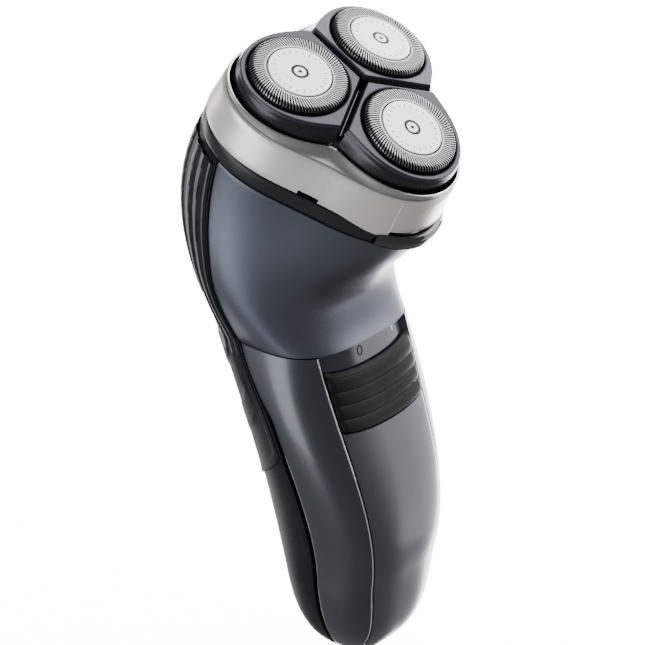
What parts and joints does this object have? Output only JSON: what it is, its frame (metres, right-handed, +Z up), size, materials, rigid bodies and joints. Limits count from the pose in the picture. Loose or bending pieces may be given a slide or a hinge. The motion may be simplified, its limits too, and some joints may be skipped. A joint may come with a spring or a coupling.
{
  "type": "rotary electric shaver",
  "caption": "Cordless rotary electric shaver: tilted head of round cutters in a lobed holder, waisted two-tone handle with slide switch, ribbed rear grip and charging inlet.",
  "frame": {"origin": "centre of the charging inlet's mouth in the lower end of the handle", "axes": "+Z up along the handle, -Y is the front with the switch, +X is the right seen from the front"},
  "size_m": [0.0568, 0.062, 0.1527],
  "materials": {
    "handle_shell": "satin gunmetal lacquer",
    "front_insert": "satin gunmetal lacquer",
    "switch_band": "glossy blue-grey",
    "neck_shell": "satin metallic lacquer",
    "rear_shell": "fine satin",
    "rear_grip": "matt with speckled ribs",
    "collar": "satin",
    "inner_dark": "moulded",
    "screws": "plain",
    "gear_plastic": "moulded",
    "motor_metal": "cast",
    "cell_wrap": "shrink wrap",
    "spring_steel": "bright",
    "circuit_board": "solder mask",
    "inlet": "moulded",
    "contacts": "plated",
    "head_holder": "champagne silver satin",
    "button_gloss": "high gloss",
    "switch_rubber": "matt",
    "cutter_frames": "satin metallic",
    "cutter_steel": "turned",
    "cap_disc": "circular brushed",
    "blades": "ground"
  },
  "bodies": {
    "body": {"front_shell": "handle_shell", "front_panel": "front_insert", "switch_bed": "switch_band", "neck_shell": "neck_shell", "rear_shell": "rear_shell", "rear_grip": "rear_grip", "collar": "collar", "spindle_deck": "inner_dark", "deck_screws": "screws", "gear_plate": "gear_plastic", "motor_mount": "motor_metal", "motor_can": "motor_metal", "battery_cell_left": "cell_wrap", "battery_cell_right": "cell_wrap", "battery_contacts": "spring_steel", "circuit_board": "circuit_board", "circuit_parts": "inner_dark", "charging_inlet": "inlet", "contact_pins": "contacts", "hinge_bracket": "inner_dark", "hinge_pin": "spring_steel", "button_spring": "spring_steel"},
    "shaving_unit": {"head_holder": "head_holder", "hinge_leaf": "head_holder", "frame_carrier": "inner_dark", "retaining_plate": "inner_dark"},
    "locking_wheel": {"locking_wheel": "inner_dark"},
    "motor_rotor": {"motor_pinion": "gear_plastic"},
    "frame_front": {"cutter_frame_front": "cutter_frames"},
    "cap_front": {"cutter_cap_front": "cutter_steel", "cap_disc_front": "cap_disc"},
    "cutter_front": {"rotary_cutter_front": "blades"},
    "gear_front": {"drive_gear_front": "gear_plastic", "spindle_spring_front": "spring_steel"},
    "spindle_front": {"drive_spindle_front": "gear_plastic"},
    "frame_left": {"cutter_frame_left": "cutter_frames"},
    "cap_left": {"cutter_cap_left": "cutter_steel", "cap_disc_left": "cap_disc"},
    "cutter_left": {"rotary_cutter_left": "blades"},
    "gear_left": {"drive_gear_left": "gear_plastic", "spindle_spring_left": "spring_steel"},
    "spindle_left": {"drive_spindle_left": "gear_plastic"},
    "frame_right": {"cutter_frame_right": "cutter_frames"},
    "cap_right": {"cutter_cap_right": "cutter_steel", "cap_disc_right": "cap_disc"},
    "cutter_right": {"rotary_cutter_right": "blades"},
    "gear_right": {"drive_gear_right": "gear_plastic", "spindle_spring_right": "spring_steel"},
    "spindle_right": {"drive_spindle_right": "gear_plastic"},
    "release_button": {"release_button": "button_gloss"},
    "power_switch": {"switch_pad": "switch_rubber", "switch_slider": "gear_plastic"}
  },
  "joints": [
    {"name": "shaving_unit_hinge", "type": "hinge", "parent": "body", "child": "shaving_unit", "pos_m": [0, 0.01588, 0.1429], "axis": [-1, 0, 0], "range_deg": [0, 100]},
    {"name": "locking_wheel_turn", "type": "hinge", "parent": "shaving_unit", "child": "locking_wheel", "pos_m": [0, -0.00687, 0.13093], "axis": [0, -0.5736, 0.8192], "range_deg": [0, 90]},
    {"name": "motor_spin", "type": "hinge", "parent": "body", "child": "motor_rotor", "pos_m": [0, -0.00285, 0.1252], "axis": [0, -0.5736, 0.8192], "continuous": true},
    {"name": "frame_tilt_front", "type": "hinge", "parent": "shaving_unit", "child": "frame_front", "pos_m": [0, -0.02238, 0.1277], "axis": [-1, 0, 0], "range_deg": [-2.5, 2.5], "stiffness_Nm_per_rad": 0.15},
    {"name": "cap_float_front", "type": "slide", "parent": "frame_front", "child": "cap_front", "axis": [0, -0.6587, 0.7524], "range_m": [-0.0012, 0], "stiffness_N_per_m": 500, "springref_m": 0.0006},
    {"name": "cutter_spin_front", "type": "hinge", "parent": "cap_front", "child": "cutter_front", "pos_m": [0, -0.02488, 0.13056], "axis": [0, -0.6587, 0.7524], "continuous": true},
    {"name": "drive_gear_spin_front", "type": "hinge", "parent": "body", "child": "gear_front", "pos_m": [0, -0.01522, 0.11776], "axis": [0, -0.5736, 0.8192], "continuous": true},
    {"name": "spindle_press_front", "type": "slide", "parent": "gear_front", "child": "spindle_front", "axis": [0, -0.5736, 0.8192], "range_m": [-0.0012, 0], "stiffness_N_per_m": 400, "springref_m": 0.0006, "deforming": ["spindle_spring_front"]},
    {"name": "frame_tilt_left", "type": "hinge", "parent": "shaving_unit", "child": "frame_left", "pos_m": [-0.01261, -0.00449, 0.14022], "axis": [0.5, 0.7094, 0.4967], "range_deg": [-2.5, 2.5], "stiffness_Nm_per_rad": 0.15},
    {"name": "cap_float_left", "type": "slide", "parent": "frame_left", "child": "cap_left", "axis": [-0.0935, -0.526, 0.8453], "range_m": [-0.0012, 0], "stiffness_N_per_m": 500, "springref_m": 0.0006},
    {"name": "cutter_spin_left", "type": "hinge", "parent": "cap_left", "child": "cutter_left", "pos_m": [-0.01296, -0.00649, 0.14344], "axis": [-0.0935, -0.526, 0.8453], "continuous": true},
    {"name": "drive_gear_spin_left", "type": "hinge", "parent": "body", "child": "gear_left", "pos_m": [-0.01247, 0.00247, 0.13015], "axis": [0, -0.5736, 0.8192], "continuous": true},
    {"name": "spindle_press_left", "type": "slide", "parent": "gear_left", "child": "spindle_left", "axis": [0, -0.5736, 0.8192], "range_m": [-0.0012, 0], "stiffness_N_per_m": 400, "springref_m": 0.0006, "deforming": ["spindle_spring_left"]},
    {"name": "frame_tilt_right", "type": "hinge", "parent": "shaving_unit", "child": "frame_right", "pos_m": [0.01261, -0.00449, 0.14022], "axis": [0.5, -0.7094, -0.4967], "range_deg": [-2.5, 2.5], "stiffness_Nm_per_rad": 0.15},
    {"name": "cap_float_right", "type": "slide", "parent": "frame_right", "child": "cap_right", "axis": [0.0935, -0.526, 0.8453], "range_m": [-0.0012, 0], "stiffness_N_per_m": 500, "springref_m": 0.0006},
    {"name": "cutter_spin_right", "type": "hinge", "parent": "cap_right", "child": "cutter_right", "pos_m": [0.01296, -0.00649, 0.14344], "axis": [0.0935, -0.526, 0.8453], "continuous": true},
    {"name": "drive_gear_spin_right", "type": "hinge", "parent": "body", "child": "gear_right", "pos_m": [0.01247, 0.00247, 0.13015], "axis": [0, -0.5736, 0.8192], "continuous": true},
    {"name": "spindle_press_right", "type": "slide", "parent": "gear_right", "child": "spindle_right", "axis": [0, -0.5736, 0.8192], "range_m": [-0.0012, 0], "stiffness_N_per_m": 400, "springref_m": 0.0006, "deforming": ["spindle_spring_right"]},
    {"name": "release_button_press", "type": "slide", "parent": "body", "child": "release_button", "axis": [0, 0.8192, 0.5736], "range_m": [0, 0.001], "stiffness_N_per_m": 600, "springref_m": -0.0008, "deforming": ["button_spring"]},
    {"name": "power_switch_slide", "type": "slide", "parent": "body", "child": "power_switch", "axis": [0, 0.2195, 0.9756], "range_m": [0, 0.003]}
  ],
  "couplings": [
    {"joint": "drive_gear_spin_front", "follows": "cutter_spin_front", "ratio": 1},
    {"joint": "spindle_press_front", "follows": "cap_float_front", "ratio": 1},
    {"joint": "drive_gear_spin_left", "follows": "cutter_spin_front", "ratio": 1},
    {"joint": "cutter_spin_left", "follows": "cutter_spin_front", "ratio": 1},
    {"joint": "spindle_press_left", "follows": "cap_float_left", "ratio": 1},
    {"joint": "drive_gear_spin_right", "follows": "cutter_spin_front", "ratio": 1},
    {"joint": "cutter_spin_right", "follows": "cutter_spin_front", "ratio": 1},
    {"joint": "spindle_press_right", "follows": "cap_float_right", "ratio": 1},
    {"joint": "motor_spin", "follows": "cutter_spin_front", "ratio": -2.6}
  ]
}
